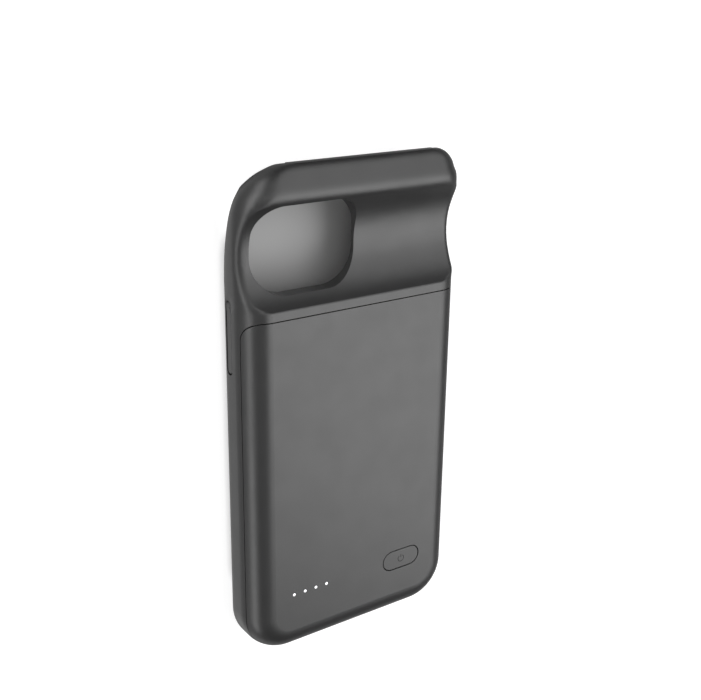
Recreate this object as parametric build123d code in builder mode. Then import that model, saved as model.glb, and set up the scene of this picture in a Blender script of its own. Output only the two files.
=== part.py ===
from build123d import *
import os
from math import acos, atan2, cos, hypot, pi, radians, sin, sqrt

os.makedirs("parts", exist_ok=True)

# Slim device that the pocket is made for
device_width = 64.2
device_length = 131.5
device_thickness = 7.65
device_corner = 11.3
device_edge = 3.5
device_clearance = 0.15

# Outer shell
side_wall = 3.05
chin = 5.8
bar_overhang = 5.25
lip_thickness = 1.0
lip_overhang = 1.5
parting_height = 10.3
bay_depth = 5.2
bottom_corner = 13.0
camera_corner = 14.0
plain_corner = 9.6
back_rounding = 7.4
front_rounding = 4.2
back_share = 0.85
front_share = 0.9

# Sculpted camera end, with places measured down from the top edge
scoop_from_top = 37.85
valley_from_top = 23.6
crest_from_top = 7.7
sweep_from_top = 31.0
sweep_radius = 49.7
scoop_edge_rounding = 0.9
scoop_wall = 1.2
crease_rounding = 1.6
crease_turn = 45.0
switch_hollow = 1.0
crest_rise = 0.5
crest_rounding = 4.0
bar_edge_height = 13.7
window_from_top = 10.2
window_from_centre = 15.35
window_width = 32.5
window_length = 24.25
window_high_corner = 8.0
window_low_corner = 10.0

# Seam between the frame and the back cover
seam_from_top = 40.25
seam_gap = 0.25
seam_corner = 5.5
seam_shoulder = 2.0
cover_wall = 1.3
cover_side_wall = 1.65
cover_tongue = 0.6

# Tray and battery bay
tray_thickness = 1.0
tray_ledge = 1.15
fit_gap = 0.1
board_standoff = 1.0
board_thickness = 0.8
board_margin = 1.7
board_half_width = 29.0
cell_width = 58.0
cell_length = 62.0
cell_thickness = 3.9
cell_from_seam = 3.6
tape_thickness = 0.1

# Keys, button and lights
key_height = 5.05
key_width = 2.6
key_gap = 0.2
key_recess = 0.1
key_flange = 0.5
key_flange_rim = 0.8
key_travel = 0.4
key_edge = 0.3
side_key_length = 20.4
side_key_from_top = 46.15
volume_key_length = 9.6
volume_up_from_top = 40.45
volume_down_from_top = 53.45
switch_slot_length = 10.0
switch_slot_width = 4.6
switch_slot_from_top = 27.95
button_length = 13.2
button_width = 6.2
button_gap = 0.2
button_right = 16.3
button_from_bottom = 18.9
button_flange = 0.5
button_flange_rim = 0.8
button_travel = 0.35
button_edge = 0.15
light_pitch = 3.68
light_count = 4
light_diameter = 0.85
light_gap = 0.05
light_bar_width = 2.0
light_bar_thickness = 1.0
lights_left = 16.35
lights_from_bottom = 19.15

# Board parts
screw_from_edge = 3.0
lower_screw_left = 14.0
lower_screw_up = 4.7
screw_shank = 1.5
screw_length = 2.2
screw_head = 3.0
screw_head_height = 0.7
boss_diameter = 3.6
switch_size = 4.2
switch_body = 1.1
plunger_diameter = 2.0
led_length = 1.6
led_width = 0.8
led_height = 0.5
chip_size = 5.0
chip_height = 0.9
chip_left = 21.0
chip_up = 8.7
inductor_size = 5.4
inductor_height = 2.0
inductor_right = 16.0
inductor_up = 5.7
capacitor_length = 1.6
capacitor_width = 0.8
capacitor_pitch = 2.6
capacitor_count = 6
capacitors_left = 2.0
capacitors_up = 10.2
protection_width = 28.0
protection_depth = 3.2
protection_gap = 1.6
tab_width = 4.0
tab_thickness = 0.15
tab_spread = 18.0
lead_diameter = 1.0
lead_spread = 6.0
lead_overlap = 2.0
lead_run = 6.0
rib_width = 2.0

# Inlet and dock plug
inlet_width = 8.95
inlet_height = 3.2
inlet_depth = 7.3
inlet_wall = 0.35
inlet_gap = 0.3
inlet_setback = 1.75
tongue_width = 6.6
tongue_thickness = 0.7
tongue_length = 5.0
plug_width = 6.7
plug_thickness = 1.5
plug_length = 6.6
plug_wall = 1.0
plug_base_width = 19.0
plug_base_depth = 2.7
plug_base_height = 4.6
contact_count = 8
contact_pitch = 0.74
contact_width = 0.5
contact_length = 3.4
contact_height = 0.05
ribbon_width = 3.4
ribbon_thickness = 0.2
ribbon_from_end = 2.2
sound_hole = 1.6
sound_pitch = 2.6
sound_count = 4
sound_from_centre = 16.5

# Places that follow from the sizes above
pocket_width = device_width + 2 * device_clearance
case_width = pocket_width + 2 * side_wall
half_width = case_width / 2
case_length = chin + device_length + bar_overhang
top = case_length / 2
bottom = -case_length / 2
pocket_bottom = bottom + chin
pocket_floor = lip_thickness + device_thickness + fit_gap / 2
tray_top = pocket_floor + tray_thickness
back = parting_height + bay_depth
bay_top = back - cover_wall
bay_half_width = half_width - cover_side_wall
bay_bottom = bottom + cover_side_wall
seam = top - seam_from_top
bay_end = seam - seam_gap - cover_wall
crest = back + crest_rise
valley = pocket_floor + scoop_wall
valley_y = top - valley_from_top
crest_y = top - crest_from_top
sweep_y = top - sweep_from_top
above = back + 10
tray_half_width = pocket_width / 2 + tray_ledge
tray_bottom_end = pocket_bottom - tray_ledge
shoulder_half_width = tray_half_width - seam_shoulder
shoulder_start = seam - seam_corner
seat_corner = device_corner + device_clearance + tray_ledge
board_bottom = tray_top + board_standoff
board_top = board_bottom + board_thickness
cell_end = seam - cell_from_seam
cell_start = cell_end - cell_length
protection_end = cell_start - protection_gap
protection_start = protection_end - protection_depth
board_start = bay_bottom + board_margin
board_end = protection_start - lead_run
screw_side = board_half_width - screw_from_edge
upper_screw_y = board_end - screw_from_edge
lower_screw_y = board_start + lower_screw_up
screw_places = [
    (-screw_side, upper_screw_y),
    (screw_side, upper_screw_y),
    (-lower_screw_left, lower_screw_y),
]
key_seat = pocket_width / 2 + key_flange + key_travel + fit_gap
flange_face = key_seat - fit_gap / 2
button_y = bottom + button_from_bottom
button_seat = bay_top - fit_gap / 2
lights_y = bottom + lights_from_bottom
light_bar = (light_count - 1) * light_pitch + light_bar_width
inlet_z = tray_top + fit_gap + inlet_height / 2
inlet_face = bottom + inlet_setback
plug_z = lip_thickness + device_thickness / 2
plug_base_front = pocket_bottom - plug_wall
plug_base_bottom = plug_z - plug_base_height / 2

# Arcs of the back's lengthwise profile: scoop edge, two scoop arcs, crest and bar slope
scoop_drop = back - valley
scoop_run = valley_y - (top - scoop_from_top)
lower_radius = (scoop_run**2 + scoop_drop**2) / (2 * scoop_drop)
edge_reach = lower_radius + scoop_edge_rounding
edge_y = valley_y - sqrt(edge_reach**2 - (edge_reach - scoop_drop) ** 2)
edge_end = edge_y + (valley_y - edge_y) * scoop_edge_rounding / edge_reach
crest_run = crest_y - valley_y
crest_drop = crest - valley
upper_radius = (crest_run**2 + crest_drop**2 - 2 * crest_drop * crest_rounding) / (2 * crest_drop)
crest_start = valley_y + crest_run * upper_radius / (upper_radius + crest_rounding)
slope_run = top - crest_y
slope_fall = bar_edge_height - (crest - crest_rounding)
slope_angle = atan2(slope_fall, slope_run) + acos(crest_rounding / hypot(slope_run, slope_fall))
crest_end = crest_y + crest_rounding * cos(slope_angle)
slope_start = crest - crest_rounding + crest_rounding * sin(slope_angle)


def back_height(y):
    """Height of the outer back at a place along the case."""
    if y <= edge_y:
        return back
    if y <= edge_end:
        return back - scoop_edge_rounding + sqrt(scoop_edge_rounding**2 - (y - edge_y) ** 2)
    if y <= valley_y:
        return valley + lower_radius - sqrt(lower_radius**2 - (valley_y - y) ** 2)
    if y <= crest_start:
        return valley + upper_radius - sqrt(upper_radius**2 - (y - valley_y) ** 2)
    if y <= crest_end:
        return crest - crest_rounding + sqrt(crest_rounding**2 - (y - crest_y) ** 2)
    share = (y - crest_end) / (top - crest_end)
    return slope_start + (bar_edge_height - slope_start) * share


def front_height(y):
    """Height of the front edge, which sweeps back towards the top."""
    if y <= sweep_y:
        return 0.0
    return sweep_radius - sqrt(sweep_radius**2 - (y - sweep_y) ** 2)


def side_reach(y, corner):
    """Distance from the middle to a side of the case, drawn in round a top corner."""
    turn = y - (top - corner)
    if turn <= 0:
        return half_width
    return half_width - corner + sqrt(max(0, corner**2 - turn**2))


def closed_height(y):
    """Height that the back would have without the scoop."""
    if y >= crest_y:
        return back_height(y)
    share = max(0, y - edge_y) / (crest_y - edge_y)
    return back + crest_rise * share**2


def shell_section(y):
    """Cross-section of the rounded body, cut down by the scoop, with a soft crease beside the cut."""
    low = front_height(y)
    high = back_height(y)
    cut = max(0, closed_height(y) - high)
    left = -side_reach(y, camera_corner)
    right = side_reach(y, plain_corner) - switch_hollow * (cut / scoop_drop) ** 2
    r_body = min(back_rounding, back_share * (high + cut - low))
    r_front = min(front_rounding, front_share * (high + cut - low - r_body))
    lift = min(sin(radians(crease_turn)), 1 - cut / (r_body - crease_rounding))
    across = r_body - cut / (1 - lift) * sqrt(1 - lift**2)
    down = r_body - cut
    with BuildSketch(Plane.XZ.offset(-y)) as section:
        with BuildLine():
            Line((left + r_front, low), (right - r_front, low))
            CenterArc((right - r_front, low + r_front), r_front, -90, 90)
            Line((right, low + r_front), (right, high - down))
            EllipticalCenterArc((right - across, high - down), across, down, 0, arc_size=90)
            Line((right - across, high), (left + across, high))
            EllipticalCenterArc((left + across, high - down), across, down, 90, arc_size=90)
            Line((left, high - down), (left, low + r_front))
            CenterArc((left + r_front, low + r_front), r_front, 180, 90)
        make_face()
    return section.sketch


def shell_stretch(start, end, steps):
    """Cross-sections from one place to another, closer together towards both ends."""
    places = [start + (end - start) * (1 - cos(pi * step / steps)) / 2 for step in range(steps + 1)]
    return [shell_section(place) for place in places]


# Outer envelope of the closed case
with BuildPart() as envelope:
    with BuildSketch() as outline:
        with Locations((0, (bottom + edge_y) / 2)):
            Rectangle(case_width, edge_y - bottom)
        fillet(outline.vertices().group_by(Axis.Y)[0], bottom_corner)
    extrude(amount=back)
    rim = envelope.edges().filter_by(lambda e: e.center().Y < edge_y - 1)
    fillet(rim.group_by(Axis.Z)[-1], back_rounding)
    rim = envelope.edges().filter_by(lambda e: e.center().Y < edge_y - 1)
    fillet(rim.group_by(Axis.Z)[0], front_rounding)
    loft(sections=shell_stretch(edge_y, edge_end, 3))
    loft(sections=shell_stretch(edge_end, valley_y, 8))
    loft(sections=shell_stretch(valley_y, crest_start, 7))
    loft(sections=shell_stretch(crest_start, crest_y, 4))
    loft(sections=shell_stretch(crest_y, crest_end, 3))
    loft(sections=shell_stretch(crest_end, top, 8))


def seam_region(gap):
    """Space behind the parting plane and below the cross seam, drawn in by a gap."""
    with BuildPart() as region:
        with BuildSketch(Plane.YZ.offset(-case_width)) as profile:
            with Locations(((2 * bottom + seam - gap) / 2, (parting_height + gap + above) / 2)):
                Rectangle(seam - gap - 2 * bottom, above - parting_height - gap)
            turned_end = profile.vertices().group_by(Axis.X)[-1].sort_by(Axis.Y)[0]
            fillet(turned_end, seam_corner - gap)
        extrude(amount=2 * case_width)
    return region.part


# Device pocket with its screen window, open at the top end
with BuildPart() as pocket:
    with BuildSketch(Plane.XY.offset(lip_thickness)) as pocket_outline:
        with Locations((0, (pocket_bottom + 2 * top) / 2)):
            Rectangle(pocket_width, 2 * top - pocket_bottom)
        fillet(pocket_outline.vertices().group_by(Axis.Y)[0], device_corner + device_clearance)
    extrude(amount=pocket_floor - lip_thickness)
    long_edges = pocket.faces().sort_by(Axis.Z)[-1].edges().filter_by(lambda e: e.center().Y < top)
    fillet(long_edges, device_edge)
    with BuildSketch(Plane.XY.offset(-lip_thickness)) as screen_outline:
        with Locations((0, (pocket_bottom + lip_overhang + 2 * top) / 2)):
            Rectangle(pocket_width - 2 * lip_overhang, 2 * top - pocket_bottom - lip_overhang)
        fillet(screen_outline.vertices().group_by(Axis.Y)[0], device_corner - lip_overhang)
    extrude(amount=3 * lip_thickness)


def tray_outline(gap):
    """Outline of the tray's seat drawn in by a gap, narrower between the seam's turned-down ends."""
    with BuildSketch(Plane.XY.offset(pocket_floor)) as outline:
        with Locations((0, (tray_bottom_end + shoulder_start) / 2)):
            Rectangle(2 * (tray_half_width - gap), shoulder_start - tray_bottom_end - 2 * gap)
        fillet(outline.vertices().group_by(Axis.Y)[0], seat_corner - gap)
        with Locations((0, (shoulder_start + seam) / 2 - gap)):
            Rectangle(2 * (shoulder_half_width - gap), seam - shoulder_start)
    return outline.sketch


def wall_slot(side, y, length, width, start, end):
    """Rounded bar through a side wall, from one distance off the middle to another."""
    with BuildPart() as bar:
        with BuildSketch(Plane.YZ.offset(side * start)):
            with Locations((y, key_height)):
                SlotOverall(length, width)
        extrude(amount=side * (end - start))
    return bar.part


def key_opening(side, y, length):
    """Slot for a key cap, with the wider seat for its flange on the pocket side."""
    grown = 2 * key_gap
    flange = grown + 2 * key_flange_rim
    slot = wall_slot(side, y, length + grown, key_width + grown, pocket_width / 4, case_width)
    seat = wall_slot(side, y, length + flange, key_width + flange, pocket_width / 4, key_seat)
    return slot + seat


def key_cap(side, y, length):
    """Key cap with a flange that keeps it in the wall."""
    rim = 2 * key_flange_rim
    with BuildPart() as key:
        add(wall_slot(side, y, length, key_width, flange_face, half_width - key_recess))
        ends = key.faces().sort_by(Axis.X)
        outer = ends[-1] if side > 0 else ends[0]
        chamfer(outer.edges(), key_edge)
        add(wall_slot(side, y, length + rim, key_width + rim, flange_face - key_flange, flange_face))
    return key.part


side_key_y = top - side_key_from_top
volume_up_y = top - volume_up_from_top
volume_down_y = top - volume_down_from_top
switch_y = top - switch_slot_from_top
key_openings = [
    key_opening(-1, side_key_y, side_key_length),
    key_opening(1, volume_up_y, volume_key_length),
    key_opening(1, volume_down_y, volume_key_length),
]
switch_slot = wall_slot(1, switch_y, switch_slot_length, switch_slot_width, pocket_width / 4, case_width)
cover_space = seam_region(0)
cover_block = seam_region(seam_gap)

# Inlet mouth, shared by the chin and the back cover
with BuildPart() as inlet_mouth:
    with BuildSketch(Plane.XZ.offset(-bottom + 1)):
        with Locations((0, inlet_z)):
            SlotOverall(inlet_width + 2 * inlet_gap, inlet_height + 2 * inlet_gap)
    extrude(amount=-(tray_bottom_end - bottom + 1 + fit_gap))

# Frame: side walls, chin, front lip and the sculpted camera end
with BuildPart() as bumper_frame:
    add(envelope.part)
    add(cover_space, mode=Mode.SUBTRACT)
    add(pocket.part, mode=Mode.SUBTRACT)
    extrude(tray_outline(0), amount=above - pocket_floor, mode=Mode.SUBTRACT)
    with BuildSketch(Plane.XY.offset(pocket_floor / 2)) as window_outline:
        with Locations((-window_from_centre, top - window_from_top - window_length / 2)):
            Rectangle(window_width, window_length)
        fillet(window_outline.vertices().group_by(Axis.Y)[0], window_low_corner)
        fillet(window_outline.vertices().group_by(Axis.Y)[-1], window_high_corner)
    extrude(amount=above, mode=Mode.SUBTRACT)
    add(key_openings, mode=Mode.SUBTRACT)
    add(switch_slot, mode=Mode.SUBTRACT)
    add(inlet_mouth.part, mode=Mode.SUBTRACT)
    with BuildSketch(Plane.XY.offset(plug_base_bottom)):
        with Locations((0, plug_base_front - plug_base_depth / 2)):
            Rectangle(plug_base_width + 2 * fit_gap, plug_base_depth + 2 * fit_gap)
    extrude(amount=above, mode=Mode.SUBTRACT)
    with BuildSketch(Plane.XZ.offset(-pocket_bottom - device_edge)):
        with Locations((0, plug_z)):
            Rectangle(plug_width + 2 * fit_gap, plug_thickness + 2 * fit_gap)
    extrude(amount=device_edge + plug_wall + fit_gap, mode=Mode.SUBTRACT)
    with BuildSketch(Plane.XZ.offset(-pocket_bottom - bottom_corner)):
        with Locations((-sound_from_centre, plug_z), (sound_from_centre, plug_z)):
            with GridLocations(sound_pitch, 0, sound_count, 1):
                Circle(sound_hole / 2)
    extrude(amount=2 * bottom_corner + chin, mode=Mode.SUBTRACT)
bumper_frame.part.label = "bumper_frame"
export_step(bumper_frame.part, "parts/bumper_frame.step")

# Space inside the back cover
with BuildPart() as bay:
    with BuildSketch(Plane.XY.offset(bay_top - back_rounding)) as bay_outline:
        with Locations((0, (bay_bottom + bay_end) / 2)):
            Rectangle(2 * bay_half_width, bay_end - bay_bottom)
        fillet(bay_outline.vertices().group_by(Axis.Y)[0], bottom_corner - cover_side_wall)
    extrude(amount=back_rounding)
    bay_rim = bay.faces().sort_by(Axis.Z)[-1].edges().filter_by(lambda e: e.center().Y < bay_end - 1)
    fillet(bay_rim, back_rounding - cover_side_wall)

# Back cover over the battery
with BuildPart() as back_cover:
    add(cover_block)
    with BuildSketch(Plane.XY.offset(parting_height + seam_gap)):
        with Locations((0, (bottom + seam - seam_gap) / 2)):
            Rectangle(2 * (shoulder_half_width - fit_gap), seam - seam_gap - bottom)
    extrude(amount=above)
    add(envelope.part, mode=Mode.INTERSECT)
    with BuildSketch(Plane.XY.offset(parting_height)) as tongue_outline:
        tongue_half = bay_half_width + cover_tongue
        tongue_bottom = bay_bottom - cover_tongue
        tongue_end = shoulder_start - seam_gap
        with Locations((0, (tongue_bottom + tongue_end) / 2)):
            Rectangle(2 * tongue_half, tongue_end - tongue_bottom)
        tongue_corner = bottom_corner - cover_side_wall + cover_tongue
        fillet(tongue_outline.vertices().group_by(Axis.Y)[0], tongue_corner)
    extrude(amount=2 * seam_gap)
    add(bay.part, mode=Mode.SUBTRACT)
    add(inlet_mouth.part, mode=Mode.SUBTRACT)
    with BuildSketch(Plane.XY.offset(bay_top - button_travel)):
        with Locations((button_right, button_y)):
            SlotOverall(button_length + 2 * button_gap, button_width + 2 * button_gap)
        with Locations((-lights_left, lights_y)):
            with GridLocations(light_pitch, 0, light_count, 1):
                Circle(light_diameter / 2 + light_gap)
    extrude(amount=above, mode=Mode.SUBTRACT)
back_cover.part.label = "back_cover"
export_step(back_cover.part, "parts/back_cover.step")

# Tray between the pocket and the battery bay, with bosses for the boards
with BuildPart() as pocket_tray:
    extrude(tray_outline(fit_gap), amount=tray_thickness)
    with BuildSketch(Plane.XY.offset(tray_top)):
        with Locations(*screw_places):
            Circle(boss_diameter / 2)
        with Locations((0, (protection_start + protection_end) / 2)):
            with GridLocations(tab_spread, 0, 2, 1):
                Rectangle(rib_width, protection_depth)
    extrude(amount=board_standoff)
    with Locations(*[(x, y, board_bottom) for x, y in screw_places]):
        Hole(screw_shank / 2 + fit_gap / 2, depth=screw_length - board_thickness + fit_gap)
pocket_tray.part.label = "pocket_tray"
export_step(pocket_tray.part, "parts/pocket_tray.step")

# Key caps in the side walls
side_key = key_cap(-1, side_key_y, side_key_length)
side_key.label = "side_key"
export_step(side_key, "parts/side_key.step")
volume_up_key = key_cap(1, volume_up_y, volume_key_length)
volume_up_key.label = "volume_up_key"
export_step(volume_up_key, "parts/volume_up_key.step")
volume_down_key = key_cap(1, volume_down_y, volume_key_length)
volume_down_key.label = "volume_down_key"
export_step(volume_down_key, "parts/volume_down_key.step")

# Push button on the back, with the switch under it
with BuildPart() as power_button:
    with BuildSketch(Plane.XY.offset(button_seat)):
        with Locations((button_right, button_y)):
            SlotOverall(button_length, button_width)
    extrude(amount=back - button_seat)
    chamfer(power_button.faces().sort_by(Axis.Z)[-1].edges(), button_edge)
    with BuildSketch(Plane.XY.offset(button_seat - button_flange)):
        with Locations((button_right, button_y)):
            SlotOverall(button_length + 2 * button_flange_rim, button_width + 2 * button_flange_rim)
    extrude(amount=button_flange)
power_button.part.label = "power_button"
export_step(power_button.part, "parts/power_button.step")

plunger_top = button_seat - button_flange - button_travel - fit_gap / 4
with BuildPart() as button_switch:
    with BuildSketch(Plane.XY.offset(board_top)):
        with Locations((button_right, button_y)):
            RectangleRounded(switch_size, switch_size, switch_size / 10)
    extrude(amount=switch_body)
    with BuildSketch(Plane.XY.offset(board_top + switch_body)):
        with Locations((button_right, button_y)):
            Circle(plunger_diameter / 2)
    extrude(amount=plunger_top - board_top - switch_body)
button_switch.part.label = "button_switch"
export_step(button_switch.part, "parts/button_switch.step")

# Light guide with a pin for each light, and the lights on the board below
with BuildPart() as light_guide:
    with BuildSketch(Plane.XY.offset(bay_top - light_bar_thickness)):
        with Locations((-lights_left, lights_y)):
            SlotOverall(light_bar, light_bar_width)
    extrude(amount=light_bar_thickness)
    with BuildSketch(Plane.XY.offset(bay_top)):
        with Locations((-lights_left, lights_y)):
            with GridLocations(light_pitch, 0, light_count, 1):
                Circle(light_diameter / 2)
    extrude(amount=back - bay_top)
light_guide.part.label = "light_guide"
export_step(light_guide.part, "parts/light_guide.step")

with BuildPart() as indicator_leds:
    with BuildSketch(Plane.XY.offset(board_top)):
        with Locations((-lights_left, lights_y)):
            with GridLocations(light_pitch, 0, light_count, 1):
                Rectangle(led_length, led_width)
    extrude(amount=led_height)
indicator_leds.part.label = "indicator_leds"
export_step(indicator_leds.part, "parts/indicator_leds.step")

# Circuit board with its screws and large parts
with BuildPart() as circuit_board:
    with BuildSketch(Plane.XY.offset(board_bottom)) as board_outline:
        with Locations((0, (board_start + board_end) / 2)):
            Rectangle(2 * board_half_width, board_end - board_start)
        board_corner = bottom_corner - cover_side_wall - board_margin
        fillet(board_outline.vertices().group_by(Axis.Y)[0], board_corner)
        notch_end = inlet_face + inlet_depth + fit_gap
        with Locations((0, (bottom + notch_end) / 2)):
            Rectangle(inlet_width + 2 * fit_gap, notch_end - bottom, mode=Mode.SUBTRACT)
        with Locations(*screw_places):
            Circle(screw_shank / 2 + fit_gap, mode=Mode.SUBTRACT)
    extrude(amount=board_thickness)
circuit_board.part.label = "circuit_board"
export_step(circuit_board.part, "parts/circuit_board.step")

with BuildPart() as board_screws:
    with BuildSketch(Plane.XY.offset(board_top)):
        with Locations(*screw_places):
            Circle(screw_head / 2)
    extrude(amount=screw_head_height)
    with BuildSketch(Plane.XY.offset(board_top)):
        with Locations(*screw_places):
            Circle(screw_shank / 2)
    extrude(amount=-screw_length)
board_screws.part.label = "board_screws"
export_step(board_screws.part, "parts/board_screws.step")

with BuildPart() as controller_chip:
    with BuildSketch(Plane.XY.offset(board_top)):
        with Locations((-chip_left, board_start + chip_up)):
            Rectangle(chip_size, chip_size)
    extrude(amount=chip_height)
controller_chip.part.label = "controller_chip"
export_step(controller_chip.part, "parts/controller_chip.step")

with BuildPart() as boost_inductor:
    with BuildSketch(Plane.XY.offset(board_top)):
        with Locations((inductor_right, board_start + inductor_up)):
            RectangleRounded(inductor_size, inductor_size, inductor_size / 5)
    extrude(amount=inductor_height)
boost_inductor.part.label = "boost_inductor"
export_step(boost_inductor.part, "parts/boost_inductor.step")

with BuildPart() as capacitors:
    with BuildSketch(Plane.XY.offset(board_top)):
        with Locations((-capacitors_left, board_start + capacitors_up)):
            with GridLocations(capacitor_pitch, 0, capacitor_count, 1):
                Rectangle(capacitor_width, capacitor_length)
    extrude(amount=capacitor_width)
capacitors.part.label = "capacitors"
export_step(capacitors.part, "parts/capacitors.step")

# Battery cell on its tape, with the protection board, tabs and leads
with BuildPart() as battery_tape:
    with BuildSketch(Plane.XY.offset(tray_top)):
        with Locations((0, (cell_start + cell_end) / 2)):
            with GridLocations(cell_width / 2, 0, 2, 1):
                Rectangle(cell_width / 4, cell_length * 3 / 4)
    extrude(amount=tape_thickness)
battery_tape.part.label = "battery_tape"
export_step(battery_tape.part, "parts/battery_tape.step")

cell_bottom = tray_top + tape_thickness
with BuildPart() as battery_cell:
    with BuildSketch(Plane.XY.offset(cell_bottom)):
        with Locations((0, (cell_start + cell_end) / 2)):
            Rectangle(cell_width, cell_length)
    extrude(amount=cell_thickness)
    fillet(battery_cell.edges().filter_by(Axis.Y), cell_thickness / 3)
battery_cell.part.label = "battery_cell"
export_step(battery_cell.part, "parts/battery_cell.step")

protection_y = (protection_start + protection_end) / 2
with BuildPart() as cell_protection_board:
    with BuildSketch(Plane.XY.offset(board_bottom)):
        with Locations((0, protection_y)):
            Rectangle(protection_width, protection_depth)
    extrude(amount=board_thickness)
cell_protection_board.part.label = "cell_protection_board"
export_step(cell_protection_board.part, "parts/cell_protection_board.step")

with BuildPart() as cell_tabs:
    with BuildSketch(Plane.XY.offset(board_top)):
        with Locations((0, (protection_y + cell_start) / 2)):
            with GridLocations(tab_spread, 0, 2, 1):
                Rectangle(tab_width, cell_start - protection_y)
    extrude(amount=tab_thickness)
cell_tabs.part.label = "cell_tabs"
export_step(cell_tabs.part, "parts/cell_tabs.step")

lead_end = board_end - lead_overlap
for name, side in (("battery_lead_positive", 1), ("battery_lead_negative", -1)):
    with BuildPart() as lead:
        with BuildSketch(Plane.XZ.offset(-lead_end)):
            with Locations((side * lead_spread / 2, board_top + lead_diameter / 2)):
                Circle(lead_diameter / 2)
        extrude(amount=-(protection_y - lead_end))
    lead.part.label = name
    export_step(lead.part, f"parts/{name}.step")

# Charging inlet in the bottom end
with BuildPart() as charge_inlet_shell:
    with BuildSketch(Plane.XZ.offset(-inlet_face)):
        with Locations((0, inlet_z)):
            RectangleRounded(inlet_width, inlet_height, inlet_height / 2 - inlet_wall / 2)
    extrude(amount=-inlet_depth)
    with BuildSketch(Plane.XZ.offset(-inlet_face)):
        with Locations((0, inlet_z)):
            inner_height = inlet_height - 2 * inlet_wall
            RectangleRounded(inlet_width - 2 * inlet_wall, inner_height, inner_height / 2 - inlet_wall / 2)
    extrude(amount=-(inlet_depth - inlet_wall), mode=Mode.SUBTRACT)
charge_inlet_shell.part.label = "charge_inlet_shell"
export_step(charge_inlet_shell.part, "parts/charge_inlet_shell.step")

with BuildPart() as charge_inlet_tongue:
    with BuildSketch(Plane.XZ.offset(-(inlet_face + inlet_depth - inlet_wall))):
        with Locations((0, inlet_z)):
            Rectangle(tongue_width, tongue_thickness)
    extrude(amount=tongue_length)
charge_inlet_tongue.part.label = "charge_inlet_tongue"
export_step(charge_inlet_tongue.part, "parts/charge_inlet_tongue.step")

# Dock plug that stands up from the chin into the pocket
with BuildPart() as dock_plug_base:
    with BuildSketch(Plane.XY.offset(plug_base_bottom)):
        with Locations((0, plug_base_front - plug_base_depth / 2)):
            Rectangle(plug_base_width, plug_base_depth)
    extrude(amount=plug_base_height)
dock_plug_base.part.label = "dock_plug_base"
export_step(dock_plug_base.part, "parts/dock_plug_base.step")

with BuildPart() as dock_plug_blade:
    with BuildSketch(Plane.XZ.offset(-plug_base_front)):
        with Locations((0, plug_z)):
            RectangleRounded(plug_width, plug_thickness, plug_thickness / 3)
    extrude(amount=-(plug_wall + plug_length))
    blade_tip = dock_plug_blade.faces().sort_by(Axis.Y)[-1].edges()
    chamfer(blade_tip, plug_thickness / 5)
dock_plug_blade.part.label = "dock_plug_blade"
export_step(dock_plug_blade.part, "parts/dock_plug_blade.step")

with BuildPart() as dock_plug_contacts:
    contact_y = pocket_bottom + plug_length - contact_length
    for face in (plug_z + plug_thickness / 2, plug_z - plug_thickness / 2 - contact_height):
        with BuildSketch(Plane.XY.offset(face)):
            with Locations((0, contact_y)):
                with GridLocations(contact_pitch, 0, contact_count, 1):
                    Rectangle(contact_width, contact_length)
        extrude(amount=contact_height)
dock_plug_contacts.part.label = "dock_plug_contacts"
export_step(dock_plug_contacts.part, "parts/dock_plug_contacts.step")

with BuildPart() as dock_ribbon:
    with BuildSketch(Plane.XY.offset(plug_base_bottom + plug_base_height)):
        with Locations((plug_base_width / 2 - ribbon_from_end, plug_base_front - plug_base_depth / 2)):
            Rectangle(ribbon_width, ribbon_thickness)
    extrude(amount=board_bottom - plug_base_bottom - plug_base_height)
dock_ribbon.part.label = "dock_ribbon"
export_step(dock_ribbon.part, "parts/dock_ribbon.step")
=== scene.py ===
"""Looks of the battery charging case: finishes, the button's mark, studio and camera."""
from math import pi, radians

import bmesh
import bpy
from mathutils import Matrix, Vector


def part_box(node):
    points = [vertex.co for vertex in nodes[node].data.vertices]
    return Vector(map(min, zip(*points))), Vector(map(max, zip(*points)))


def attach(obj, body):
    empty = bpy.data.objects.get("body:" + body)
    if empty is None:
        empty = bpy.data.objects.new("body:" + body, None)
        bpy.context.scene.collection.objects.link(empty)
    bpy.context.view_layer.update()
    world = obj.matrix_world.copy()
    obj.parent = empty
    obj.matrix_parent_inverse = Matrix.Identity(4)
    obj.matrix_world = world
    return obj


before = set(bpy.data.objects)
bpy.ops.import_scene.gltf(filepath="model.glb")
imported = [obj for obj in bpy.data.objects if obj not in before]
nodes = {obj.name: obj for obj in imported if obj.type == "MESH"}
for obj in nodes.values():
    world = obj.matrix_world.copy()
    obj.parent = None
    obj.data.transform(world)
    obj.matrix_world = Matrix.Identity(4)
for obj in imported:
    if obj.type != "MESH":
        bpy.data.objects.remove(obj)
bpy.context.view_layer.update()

MM = 0.001

# Camera at the photograph's viewing angle
CAMERA_PLACE = Vector((-0.16478, 0.11997, 0.24788))
CAMERA_RIGHT = Vector((0.8239, 0.0127, 0.5665))
CAMERA_UP = Vector((0.1808, 0.9416, -0.2840))
FOCAL_LENGTH = 56.29
SENSOR_WIDTH = 36.0
NEAREST = 0.01
FARTHEST = 50.0

# Moulded plastic: noise scales are grains to the metre
SHADE_DRIFT = 45
GLOSS_DRIFT = 160
GRAIN_SCALE = 5200
GRAIN_DEPTH = 0.012 * MM
GRAIN_STRENGTH = 0.35

# Softness of moulded edges, and the stretches over which the softer zones of the camera end set in
EDGE_SOFTNESS = 0.1 * MM
CREASE_SOFTNESS = 3.2 * MM
SOFT_SAMPLES = 8
SIDE_ZONE = (31.8 * MM, 33.0 * MM)
SEAM_ZONE = (32.0 * MM, 34.5 * MM)
RIGHT_ZONE = (6 * MM, 12 * MM)
NEAR_BAR_ZONE = (54 * MM, 58 * MM)
BAR_ZONE = (61.2 * MM, 62.5 * MM)

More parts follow.
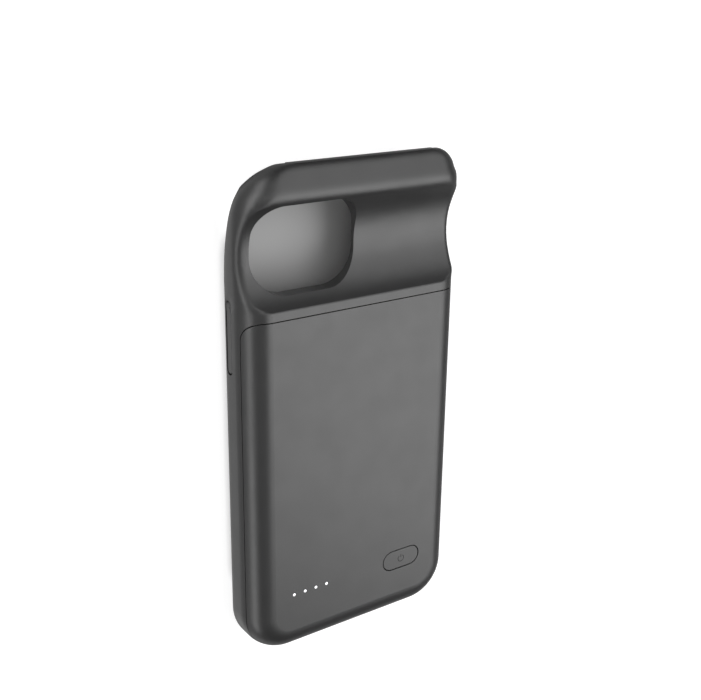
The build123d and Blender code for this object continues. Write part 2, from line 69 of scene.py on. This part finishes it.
# Plated metal
STREAK_SCALE = 900
STREAK_DEPTH = 0.004 * MM
STREAK_STRENGTH = 0.3

# Power mark printed on the button: an open ring with a bar in its gap
MARK_RADIUS = 1.05 * MM
MARK_STROKE = 0.24 * MM
MARK_GAP = radians(38)
MARK_BAR = (0.3 * MM, 1.35 * MM)
MARK_THICK = 0.02 * MM
MARK_END_ROUNDING = 0.1 * MM
MARK_STEPS = 48

# Floor: half its side, its white for the camera, and where that fades in round the case and far off
FLOOR_HALF = 4.0
FLOOR_GREY = (0.42, 0.42, 0.42, 1)
FLOOR_WHITE = 0.8
CORE_HALF_WIDTH = 18 * MM
CORE_HALF_LENGTH = 45 * MM
EDGE_FADE = (12 * MM, 17.5 * MM)
FAR_FADE = (0.3, 1.5)

# Glowing band on the floor beside the left wall, seen in reflections only: a painted highlight on the
# object's left rim
RIM_HIGHLIGHT_GLOW = 0.6
RIM_GLOW_OUTER_FADE = (-43 * MM, -39 * MM)
RIM_GLOW_INNER_FADE = (-36 * MM, -33 * MM)

SKY_GREY = (0.1, 0.1, 0.1, 1)
WHITE = (1, 1, 1, 1)


def new_material(name):
    """Empty node material with its Principled shader."""
    material = bpy.data.materials.new(name)
    material.use_nodes = True
    tree = material.node_tree
    return material, tree, tree.nodes["Principled BSDF"]


def place_on_object(tree):
    """Object coordinates of the piece."""
    return tree.nodes.new("ShaderNodeTexCoord").outputs["Object"]


def grain(tree, scale, detail=2.0):
    """Noise in object space."""
    noise = tree.nodes.new("ShaderNodeTexNoise")
    noise.inputs["Scale"].default_value = scale
    noise.inputs["Detail"].default_value = detail
    tree.links.new(place_on_object(tree), noise.inputs["Vector"])
    return noise.outputs["Fac"]


def spread(tree, value, low, high, start=0.3, end=0.7):
    """A value between start and end spread between two numbers, and held at them outside."""
    mapped = tree.nodes.new("ShaderNodeMapRange")
    mapped.inputs["From Min"].default_value = start
    mapped.inputs["From Max"].default_value = end
    mapped.inputs["To Min"].default_value = low
    mapped.inputs["To Max"].default_value = high
    tree.links.new(value, mapped.inputs["Value"])
    return mapped.outputs["Result"]


def calc(tree, operation, *values):
    """Math node on sockets or numbers."""
    node = tree.nodes.new("ShaderNodeMath")
    node.operation = operation
    for socket, value in zip(node.inputs, values):
        if isinstance(value, (int, float)):
            socket.default_value = value
        else:
            tree.links.new(value, socket)
    return node.outputs["Value"]


def axes(tree):
    """Distances along X and Y in object space."""
    split = tree.nodes.new("ShaderNodeSeparateXYZ")
    tree.links.new(place_on_object(tree), split.inputs["Vector"])
    return split.outputs["X"], split.outputs["Y"]


def tint(tree, value, dark, light):
    """A colour that goes from dark to light with a noise value."""
    mix = tree.nodes.new("ShaderNodeMix")
    mix.data_type = "RGBA"
    mix.inputs["A"].default_value = (*dark, 1)
    mix.inputs["B"].default_value = (*light, 1)
    tree.links.new(value, mix.inputs["Factor"])
    return mix.outputs["Result"]


def bump(tree, height, distance, strength, normal=None):
    """Bump from a height value, over a softened normal where there is one."""
    node = tree.nodes.new("ShaderNodeBump")
    node.inputs["Distance"].default_value = distance
    node.inputs["Strength"].default_value = strength
    tree.links.new(height, node.inputs["Height"])
    if normal is not None:
        tree.links.new(normal, node.inputs["Normal"])
    return node.outputs["Normal"]


def soft_edges(tree):
    """Normal that rounds moulded edges a little, and more over the bar and at the ends of the scoop."""
    x, y = axes(tree)
    beside = spread(tree, calc(tree, "ABSOLUTE", x), 0, 1, *SIDE_ZONE)
    above_seam = spread(tree, y, 0, 1, *SEAM_ZONE)
    right_part = spread(tree, x, 0, 1, *RIGHT_ZONE)
    near_bar = spread(tree, y, 0, 1, *NEAR_BAR_ZONE)
    bar = spread(tree, y, 0, 1, *BAR_ZONE)
    crease = calc(tree, "MAXIMUM", calc(tree, "MULTIPLY", beside, above_seam), bar)
    crease = calc(tree, "MAXIMUM", calc(tree, "MULTIPLY", right_part, near_bar), crease)
    bevel = tree.nodes.new("ShaderNodeBevel")
    bevel.samples = SOFT_SAMPLES
    tree.links.new(spread(tree, crease, EDGE_SOFTNESS, CREASE_SOFTNESS, 0, 1), bevel.inputs["Radius"])
    return bevel.outputs["Normal"]


def moulded(name, dark, light, rough, level=0.5, soft=False):
    """Moulded plastic with a fine spark-eroded grain and slow drifts in shade and gloss."""
    material, tree, shader = new_material(name)
    normal = soft_edges(tree) if soft else None
    tree.links.new(tint(tree, grain(tree, SHADE_DRIFT), dark, light), shader.inputs["Base Color"])
    tree.links.new(spread(tree, grain(tree, GLOSS_DRIFT, 4), *rough), shader.inputs["Roughness"])
    pits = bump(tree, grain(tree, GRAIN_SCALE, 3), GRAIN_DEPTH, GRAIN_STRENGTH, normal)
    tree.links.new(pits, shader.inputs["Normal"])
    shader.inputs["Specular IOR Level"].default_value = level
    return material


def metal(name, colour, rough, streak=STREAK_SCALE):
    """Plated metal with fine drawing streaks."""
    material, tree, shader = new_material(name)
    shader.inputs["Base Color"].default_value = (*colour, 1)
    shader.inputs["Metallic"].default_value = 1.0
    tree.links.new(spread(tree, grain(tree, streak, 5), *rough), shader.inputs["Roughness"])
    streaks = bump(tree, grain(tree, streak * 3), STREAK_DEPTH, STREAK_STRENGTH)
    tree.links.new(streaks, shader.inputs["Normal"])
    return material


def lit_acrylic():
    """Milky acrylic lit from below."""
    material, tree, shader = new_material("lit_acrylic")
    milk = tint(tree, grain(tree, 3000), (0.86, 0.9, 0.96), (1, 1, 1))
    tree.links.new(milk, shader.inputs["Base Color"])
    shader.inputs["Roughness"].default_value = 0.25
    shader.inputs["Emission Color"].default_value = WHITE
    shader.inputs["Emission Strength"].default_value = 0.75
    return material


def dress(material, *names):
    """Gives CAD nodes a finish."""
    for name in names:
        mesh = nodes[name].data
        mesh.materials.clear()
        mesh.materials.append(material)


SHELL_DARK = (0.0140, 0.0140, 0.0142)
SHELL_LIGHT = (0.0165, 0.0165, 0.0168)
satin_shell = moulded("satin_shell", SHELL_DARK, SHELL_LIGHT, (0.37, 0.41), level=0.8, soft=True)
dress(satin_shell, "bumper_frame", "back_cover", "power_button")
dress(satin_shell, "side_key", "volume_up_key", "volume_down_key")
tray_plastic = moulded("tray_plastic", (0.018, 0.018, 0.019), (0.023, 0.023, 0.024), (0.5, 0.58))
dress(tray_plastic, "pocket_tray")
dress(lit_acrylic(), "light_guide")
laminate = moulded("green_laminate", (0.012, 0.09, 0.04), (0.02, 0.13, 0.06), (0.3, 0.4))
dress(laminate, "circuit_board", "cell_protection_board")
black_plastic = moulded("black_plastic", (0.015, 0.015, 0.015), (0.02, 0.02, 0.02), (0.4, 0.5))
dress(black_plastic, "button_switch", "controller_chip", "boost_inductor")
dress(black_plastic, "charge_inlet_tongue", "dock_plug_base", "battery_lead_negative")
dress(moulded("fired_ceramic", (0.3, 0.2, 0.12), (0.4, 0.28, 0.18), (0.45, 0.6)), "capacitors")
dress(moulded("led_lens", (0.8, 0.75, 0.5), (0.9, 0.88, 0.7), (0.2, 0.3)), "indicator_leds")
red_insulation = moulded("red_insulation", (0.35, 0.01, 0.01), (0.45, 0.02, 0.02), (0.4, 0.5))
dress(red_insulation, "battery_lead_positive")
dress(moulded("white_tape", (0.7, 0.7, 0.68), (0.8, 0.8, 0.78), (0.6, 0.7)), "battery_tape")
dress(moulded("amber_film", (0.5, 0.2, 0.02), (0.6, 0.27, 0.04), (0.2, 0.3)), "dock_ribbon")
nickel_plate = metal("nickel_plate", (0.62, 0.61, 0.6), (0.25, 0.38))
dress(nickel_plate, "board_screws", "cell_tabs", "charge_inlet_shell", "dock_plug_blade")
dress(metal("gold_plate", (0.9, 0.62, 0.25), (0.18, 0.3)), "dock_plug_contacts")
dress(metal("pouch_foil", (0.6, 0.61, 0.63), (0.3, 0.42), streak=300), "battery_cell")


def power_mark():
    """Ring and bar in the middle of the button's face, half sunk in it."""
    low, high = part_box("power_button")
    shape = bmesh.new()
    start = Matrix.Rotation(pi / 2 + MARK_GAP, 4, "Z") @ Matrix.Translation((MARK_RADIUS, 0, 0))
    section = Matrix.Rotation(pi / 2, 4, "X") @ Matrix.Diagonal((MARK_STROKE, MARK_THICK, 1, 1))
    bmesh.ops.create_grid(shape, x_segments=1, y_segments=1, size=0.5, matrix=start @ section)
    stroke = [*shape.verts, *shape.edges, *shape.faces]
    bmesh.ops.spin(shape, geom=stroke, cent=(0, 0, 0), axis=(0, 0, 1), dvec=(0, 0, 0),
                   angle=2 * pi - 2 * MARK_GAP, steps=MARK_STEPS)
    bar_place = Matrix.Translation((0, sum(MARK_BAR) / 2, 0))
    bar_size = Matrix.Diagonal((MARK_STROKE, MARK_BAR[1] - MARK_BAR[0], MARK_THICK, 1))
    bar = bmesh.ops.create_cube(shape, size=1, matrix=bar_place @ bar_size)["verts"]
    edges = [edge for edge in shape.edges if edge.verts[0] in bar]
    upright = [edge for edge in edges if edge.verts[0].co.xy == edge.verts[1].co.xy]
    bmesh.ops.bevel(shape, geom=upright, offset=MARK_END_ROUNDING, affect="EDGES",
                    segments=3, profile=0.5, material=-1)
    bmesh.ops.recalc_face_normals(shape, faces=shape.faces)
    middle = Vector(((low[0] + high[0]) / 2, (low[1] + high[1]) / 2, high[2]))
    bmesh.ops.translate(shape, verts=shape.verts, vec=middle)
    mesh = bpy.data.meshes.new("power_mark")
    shape.to_mesh(mesh)
    shape.free()
    ink = moulded("mark_ink", (0.006, 0.006, 0.006), (0.009, 0.009, 0.009), (0.6, 0.68), level=0.4)
    mesh.materials.append(ink)
    mark = bpy.data.objects.new("power_mark", mesh)
    bpy.context.collection.objects.link(mark)
    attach(mark, "power_button")


power_mark()


def softbox(name, direction, distance, width, height, radiance):
    """Square-on area lamp that faces the object's middle from a direction."""
    lamp = bpy.data.lights.new(name, "AREA")
    lamp.shape = "RECTANGLE"
    lamp.size = width
    lamp.size_y = height
    lamp.energy = radiance * pi * width * height
    box = bpy.data.objects.new(name, lamp)
    toward = Vector(direction).normalized()
    box.location = toward * distance
    box.rotation_mode = "QUATERNION"
    box.rotation_quaternion = toward.to_track_quat("Z", "Y")
    box.visible_camera = False
    bpy.context.collection.objects.link(box)


softbox("wide_softbox", (0.52, -0.01, 0.85), distance=1.0, width=1.5, height=1.05, radiance=1.6)
softbox("core_softbox", (0.55, -0.24, 0.80), distance=0.98, width=0.6, height=0.8, radiance=1.4)
softbox("left_strip", (-0.86, -0.39, 0.30), distance=0.9, width=1.2, height=0.30, radiance=2.9)
softbox("far_left_strip", (-0.78, 0.55, 0.30), distance=0.9, width=0.8, height=0.44, radiance=3.2)
softbox("top_fill", (-0.37, -0.35, 0.86), distance=0.9, width=1.0, height=0.4, radiance=0.3)
softbox("corner_fill", (-0.28, 0.40, 0.87), distance=0.9, width=0.6, height=0.5, radiance=0.95)


def past(tree, distance, limit):
    """How far a distance to either side goes past a limit."""
    return calc(tree, "MAXIMUM", calc(tree, "SUBTRACT", calc(tree, "ABSOLUTE", distance), limit), 0)


def pale_floor():
    """White round the object, plain under it, with its shadow, and a glowing band by its left wall that only
    reflections see: a painted highlight on that wall.
    """
    material, tree, shader = new_material("pale_floor")
    shader.inputs["Base Color"].default_value = FLOOR_GREY
    shader.inputs["Roughness"].default_value = 0.9
    shader.inputs["Emission Color"].default_value = WHITE
    path = tree.nodes.new("ShaderNodeLightPath")
    x, y = axes(tree)
    past_x = past(tree, x, CORE_HALF_WIDTH)
    past_y = past(tree, y, CORE_HALF_LENGTH)
    away = calc(tree, "SQRT", calc(tree, "MULTIPLY_ADD", past_x, past_x, calc(tree, "POWER", past_y, 2)))
    near = spread(tree, away, 0, FLOOR_WHITE, *EDGE_FADE)
    far = spread(tree, away, 0, 1 - FLOOR_WHITE, *FAR_FADE)
    seen = calc(tree, "MULTIPLY", path.outputs["Is Camera Ray"], calc(tree, "ADD", near, far))
    # Glow by the left wall that only glossy rays see: painted highlight along the object's left rim
    outer_side = spread(tree, x, 0, 1, *RIM_GLOW_OUTER_FADE)
    inner_side = spread(tree, x, RIM_HIGHLIGHT_GLOW, 0, *RIM_GLOW_INNER_FADE)
    strip = calc(tree, "MULTIPLY", outer_side, inner_side)
    painted_rim_highlight = calc(tree, "MULTIPLY", path.outputs["Is Glossy Ray"], strip)
    tree.links.new(calc(tree, "ADD", seen, painted_rim_highlight), shader.inputs["Emission Strength"])
    return material


floor_mesh = bpy.data.meshes.new("floor")
floor_shape = bmesh.new()
bmesh.ops.create_grid(floor_shape, x_segments=1, y_segments=1, size=FLOOR_HALF)
floor_shape.to_mesh(floor_mesh)
floor_shape.free()
floor_mesh.materials.append(pale_floor())
floor = bpy.data.objects.new("floor", floor_mesh)
bpy.context.collection.objects.link(floor)


def studio_sky():
    """Dim grey sky that the camera sees as white."""
    world = bpy.data.worlds.new("studio")
    world.use_nodes = True
    tree = world.node_tree
    sky = tree.nodes["Background"]
    sky.inputs["Color"].default_value = SKY_GREY
    backdrop = tree.nodes.new("ShaderNodeBackground")
    backdrop.inputs["Color"].default_value = WHITE
    mix = tree.nodes.new("ShaderNodeMixShader")
    path = tree.nodes.new("ShaderNodeLightPath")
    tree.links.new(path.outputs["Is Camera Ray"], mix.inputs["Fac"])
    tree.links.new(sky.outputs["Background"], mix.inputs[1])
    tree.links.new(backdrop.outputs["Background"], mix.inputs[2])
    tree.links.new(mix.outputs["Shader"], tree.nodes["World Output"].inputs["Surface"])
    return world


bpy.context.scene.world = studio_sky()

lens = bpy.data.cameras.new("camera")
lens.lens = FOCAL_LENGTH
lens.sensor_width = SENSOR_WIDTH
lens.clip_start = NEAREST
lens.clip_end = FARTHEST
camera = bpy.data.objects.new("camera", lens)
bpy.context.collection.objects.link(camera)
toward_camera = CAMERA_RIGHT.cross(CAMERA_UP).normalized()
turn = Matrix((CAMERA_RIGHT.normalized(), CAMERA_UP.normalized(), toward_camera)).transposed()
camera.matrix_world = Matrix.LocRotScale(CAMERA_PLACE, turn.to_quaternion(), None)
bpy.context.scene.camera = camera
bpy.context.scene.view_settings.view_transform = "Standard"
